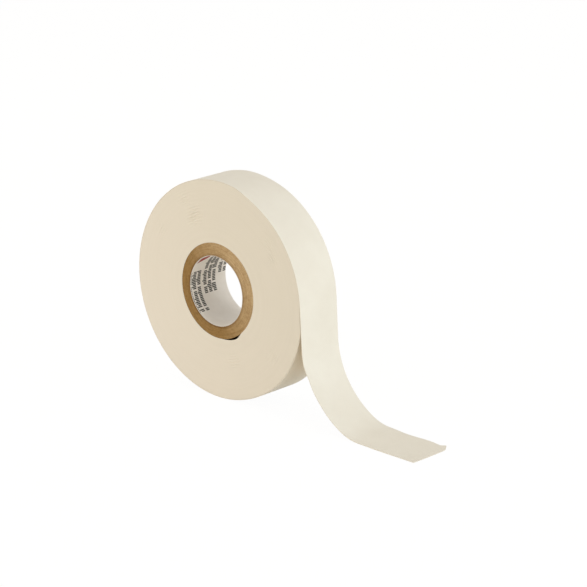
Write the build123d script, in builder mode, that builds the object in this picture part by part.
from build123d import *
import os
from math import cos, degrees, pi, radians, sin, sqrt

# A roll of white glass-cloth electrical tape wound on a spiral paper core. It stands on its rim, and
# its free end has been peeled off and lies on the table, sticky side down.
#
# The origin is on the core's axis, at the middle of the tape's width. +Y runs along that axis, +X
# points to the side where the free end leaves the roll, and +Z is up. Every section is drawn in the
# plane across the axis, with x along +X and y along +Z, so an angle is counted from +X towards +Z.
# Lengths are in millimetres and angles in degrees.

# The tape: a woven glass backing with a layer of rubber adhesive on its inner side.
tape_width = 19.0
backing_thickness = 0.14
adhesive_thickness = 0.08
tape_thickness = backing_thickness + adhesive_thickness

# The core: a printed paper liner in the bore, and kraft plies glued over it.
bore_radius = 13.35
liner_thickness = 0.1
ply_thickness = 0.6
ply_count = 8
core_radius = bore_radius + liner_thickness + ply_thickness * ply_count

# Each ply is a strip wound on a slant, so its butt joint crosses the core's width on a slant too.
seam_gap = 0.12
seam_tilt = 35.0
seam_cut_depth = 5.0
liner_seam_angle = 20.0
seam_stagger = 137.5

# The lead tab: the tape's first end, folded over twice. Its nose clings to the turn that covers it and
# stands off the core. That turn bridges from the nose down to the core and leaves an open lens there.
tab_thickness = 0.85
tab_tip_angle = 301.0
tab_nose_angle = 10.0
tab_flat_angle = 25.0
tab_taper_angle = 18.0
bridge_angle = 27.0
tab_end_angle = tab_tip_angle + tab_flat_angle + tab_taper_angle
bridge_end_angle = tab_tip_angle - bridge_angle

# The roll: its outer radius is that of the last turn, at the line where the free end peels away.
roll_radius = 41.8
peel_angle = 3.5

# The free end: it drops straight from the peel line, bends outwards, and lies flat after a tighter toe.
bend_radius = 32.5
bend_angle = 58.5
toe_radius = 16.3
lying_length = 25.8

# The free end was cut off by hand. The cut slants, so the front edge ends short, and the back corner is
# blunt.
cut_slant_depth = 2.1
blunt_corner_depth = 1.7
blunt_corner_width = 3.0

# The free end is cut into rigid lengths that hinge on the backing's face. The first one starts a short
# way below the peel line, where the tape already stands clear of the roll.
lead_length = 4.0
hinge_gap = 0.04
upper_share_of_bend = 0.5

back_face = Plane.XZ.offset(-tape_width / 2)
layers = {
    "backing": (0, backing_thickness),
    "adhesive": (backing_thickness, tape_thickness),
}


def direction(angle):
    """The unit vector at an angle in the section."""
    return Vector(cos(radians(angle)), sin(radians(angle)))


# The winding is a four-centre spiral. Its centres are the corners of a small square about the axis, and
# each quarter turn is a quarter of the tape's thickness tighter than the one outside it.
quarter_step = tape_thickness / 4


def spiral_center(quarter):
    """The centre of one quarter turn, counted back along the tape from the peel line."""
    return direction(peel_angle - 45 + 90 * quarter) * (quarter_step / sqrt(2))


def turn_side(depth):
    """Draws one turn of the spiral at a depth under the last turn's face, and gives its two ends."""
    quarters = [
        CenterArc(
            spiral_center(quarter),
            roll_radius - quarter * quarter_step - depth,
            peel_angle + 90 * quarter,
            90,
        )
        for quarter in range(4)
    ]
    return quarters[0] @ 0, quarters[3] @ 1


# The free end's path is that of the backing's face. The floor is level with the lowest point of the
# roll, and the straight drop has the length that brings the tape down to it.
third_quarter_radius = roll_radius - 2 * quarter_step
floor_height = spiral_center(2).Y - third_quarter_radius
peel_point = spiral_center(0) + direction(peel_angle) * roll_radius
drop_heading = peel_angle - 90
toe_heading = drop_heading + bend_angle
toe_angle = -toe_heading
bend_fall = bend_radius * (cos(radians(toe_heading)) - cos(radians(drop_heading)))
toe_fall = toe_radius * (1 - cos(radians(toe_heading)))
drop_fall = peel_point.Y - (floor_height + tape_thickness) - bend_fall - toe_fall
drop_length = drop_fall / cos(radians(peel_angle))

bend_start = peel_point + direction(drop_heading) * drop_length
bend_center = bend_start + direction(drop_heading + 90) * bend_radius
toe_start = bend_center + direction(toe_heading - 90) * bend_radius
toe_center = toe_start + direction(toe_heading + 90) * toe_radius
lying_start = toe_center + direction(-90) * toe_radius
upper_bend_angle = bend_angle * upper_share_of_bend
lower_bend_angle = bend_angle - upper_bend_angle
bend_gap_angle = degrees(hinge_gap / bend_radius)

hinge_points = {
    "tail_peel": peel_point + direction(drop_heading) * lead_length,
    "tail_bend": bend_center + direction(drop_heading - 90 + upper_bend_angle) * bend_radius,
    "tail_tip": lying_start,
}


def straight_side(start, heading, length, depth):
    """Draws a straight run that starts from a point of the backing's face, at a depth under it."""
    under = direction(heading - 90) * depth
    return Line(start + under, start + under + direction(heading) * length)


def wrap_side(depth):
    """One side of the last turn, with the short lead that has already left the roll."""
    outer_end, inner_end = turn_side(depth)
    lead = Line(outer_end, outer_end + direction(drop_heading) * lead_length)
    return lead @ 1, inner_end


def upper_side(depth):
    """One side of the free end's upper length: the rest of the drop and the first part of the bend."""
    start = hinge_points["tail_peel"] + direction(drop_heading) * hinge_gap
    drop = straight_side(start, drop_heading, drop_length - lead_length - hinge_gap, depth)
    bend = CenterArc(bend_center, bend_radius + depth, drop_heading - 90, upper_bend_angle)
    return drop @ 0, bend @ 1


def lower_side(depth):
    """One side of the free end's lower length: the rest of the bend and the toe."""
    first_angle = drop_heading - 90 + upper_bend_angle + bend_gap_angle
    bend = CenterArc(
        bend_center, bend_radius + depth, first_angle, lower_bend_angle - bend_gap_angle
    )
    toe = CenterArc(toe_center, toe_radius + depth, toe_heading - 90, toe_angle)
    return bend @ 0, toe @ 1


def end_side(depth):
    """One side of the free end's last length, which lies on the table."""
    start = lying_start + direction(0) * hinge_gap
    lying = straight_side(start, 0, lying_length - hinge_gap, depth)
    return lying @ 0, lying @ 1


def cut_end():
    """Cuts the free end's last length along the slant and off its back corner."""
    tip_x = lying_start.X + lying_length
    clear_x = tip_x + cut_slant_depth
    front_y, back_y = -tape_width / 2, tape_width / 2
    cut_line = [
        (tip_x - cut_slant_depth, front_y),
        (tip_x, back_y - blunt_corner_width),
        (tip_x - blunt_corner_depth, back_y),
    ]
    with BuildSketch(Plane.XY.offset(floor_height)) as waste:
        with BuildLine():
            Polyline(*cut_line, (clear_x, back_y), (clear_x, front_y), close=True)
        make_face()
    extrude(waste.sketch, amount=tape_thickness, mode=Mode.SUBTRACT)


def tab_side():
    """Draws the lead tab's upper side, flat and then tapering to the core, and gives its two ends."""
    flat = CenterArc((0, 0), core_radius + tab_thickness, tab_tip_angle, tab_flat_angle)
    foot = direction(tab_end_angle) * core_radius
    TangentArc(foot, flat @ 1, tangent=direction(tab_end_angle - 90))
    return flat @ 0, foot


def bore_side():
    """Draws the wound tape's inner face: round the core, up the bridge and over the lead tab."""
    bridge_start = direction(bridge_end_angle) * core_radius
    tab_start, _ = tab_side()
    CenterArc((0, 0), core_radius, tab_end_angle, 360 + bridge_end_angle - tab_end_angle)
    TangentArc(bridge_start, tab_start, tangent=direction(bridge_end_angle + 90))


def save(part, name):
    """Names a finished piece and writes its file."""
    part.label = name
    export_step(part, f"parts/{name}.step")


os.makedirs("parts", exist_ok=True)

# The liner and the plies: open rings, each closed but for its slanting butt joint.
for ring_number in range(ply_count + 1):
    is_liner = ring_number == 0
    ring_outer = bore_radius + liner_thickness + ply_thickness * ring_number
    ring_inner = bore_radius if is_liner else ring_outer - ply_thickness
    seam_angle = liner_seam_angle + seam_stagger * ring_number
    seam_place = Plane(
        origin=(ring_outer * cos(radians(seam_angle)), 0, ring_outer * sin(radians(seam_angle))),
        x_dir=(0, 1, 0),
        z_dir=(cos(radians(seam_angle)), 0, sin(radians(seam_angle))),
    )
    with BuildPart() as ring:
        with BuildSketch(back_face):
            Circle(ring_outer)
            Circle(ring_inner, mode=Mode.SUBTRACT)
        extrude(amount=tape_width)
        with BuildSketch(seam_place):
            Rectangle(2 * tape_width, seam_gap, rotation=seam_tilt)
        extrude(amount=seam_cut_depth, both=True, mode=Mode.SUBTRACT)
    save(ring.part, "core_liner" if is_liner else f"core_ply_{ring_number}")

# The lead tab: its nose slants up from the core, and its top is flat and then tapers to the core.
with BuildPart() as lead_tab:
    with BuildSketch(back_face):
        with BuildLine():
            tab_start, _ = tab_side()
            seat_angle = tab_tip_angle + tab_nose_angle
            seat = CenterArc((0, 0), core_radius, seat_angle, tab_end_angle - seat_angle)
            Line(seat @ 0, tab_start)
        make_face()
    extrude(amount=tape_width)
save(lead_tab.part, "lead_tab")

# The wound tape: every turn under the last one, as one solid with the spiral's step at the peel line.
with BuildPart() as wound_tape:
    with BuildSketch(back_face):
        with BuildLine():
            outer_end, inner_end = turn_side(tape_thickness)
            Line(inner_end, outer_end)
        make_face()
        with BuildLine():
            bore_side()
        make_face(mode=Mode.SUBTRACT)
    extrude(amount=tape_width)
save(wound_tape.part, "wound_tape")

# The last turn and the three lengths of the free end, each as its backing and its adhesive.
strip_sides = {
    "outer_wrap": wrap_side,
    "tail_upper": upper_side,
    "tail_lower": lower_side,
    "tail_end": end_side,
}
for strip_name, draw_side in strip_sides.items():
    for layer_name, (face_depth, under_depth) in layers.items():
        with BuildPart() as strip:
            with BuildSketch(back_face):
                with BuildLine():
                    face_start, face_end = draw_side(face_depth)
                    under_start, under_end = draw_side(under_depth)
                    Line(face_start, under_start)
                    Line(face_end, under_end)
                make_face()
            extrude(amount=tape_width)
            if draw_side is end_side:
                cut_end()
        save(strip.part, f"{strip_name}_{layer_name}")

wall = roll_radius - tape_thickness - core_radius
mean_turn = pi * (roll_radius + core_radius)
tail_length = (
    drop_length + radians(bend_angle) * bend_radius + radians(toe_angle) * toe_radius + lying_length
)
print("floor height", round(floor_height, 3), "core radius", round(core_radius, 3))
turn_count = round(wall / tape_thickness)
print("turns", turn_count, "tape length, m", round(turn_count * mean_turn / 1000, 2))
print("straight drop", round(drop_length, 3), "free end", round(tail_length, 2))
print("far end x", round(lying_start.X + lying_length, 3))
for hinge_name, point in hinge_points.items():
    print(hinge_name, "hinge at x, z", round(point.X, 4), round(point.Y, 4))
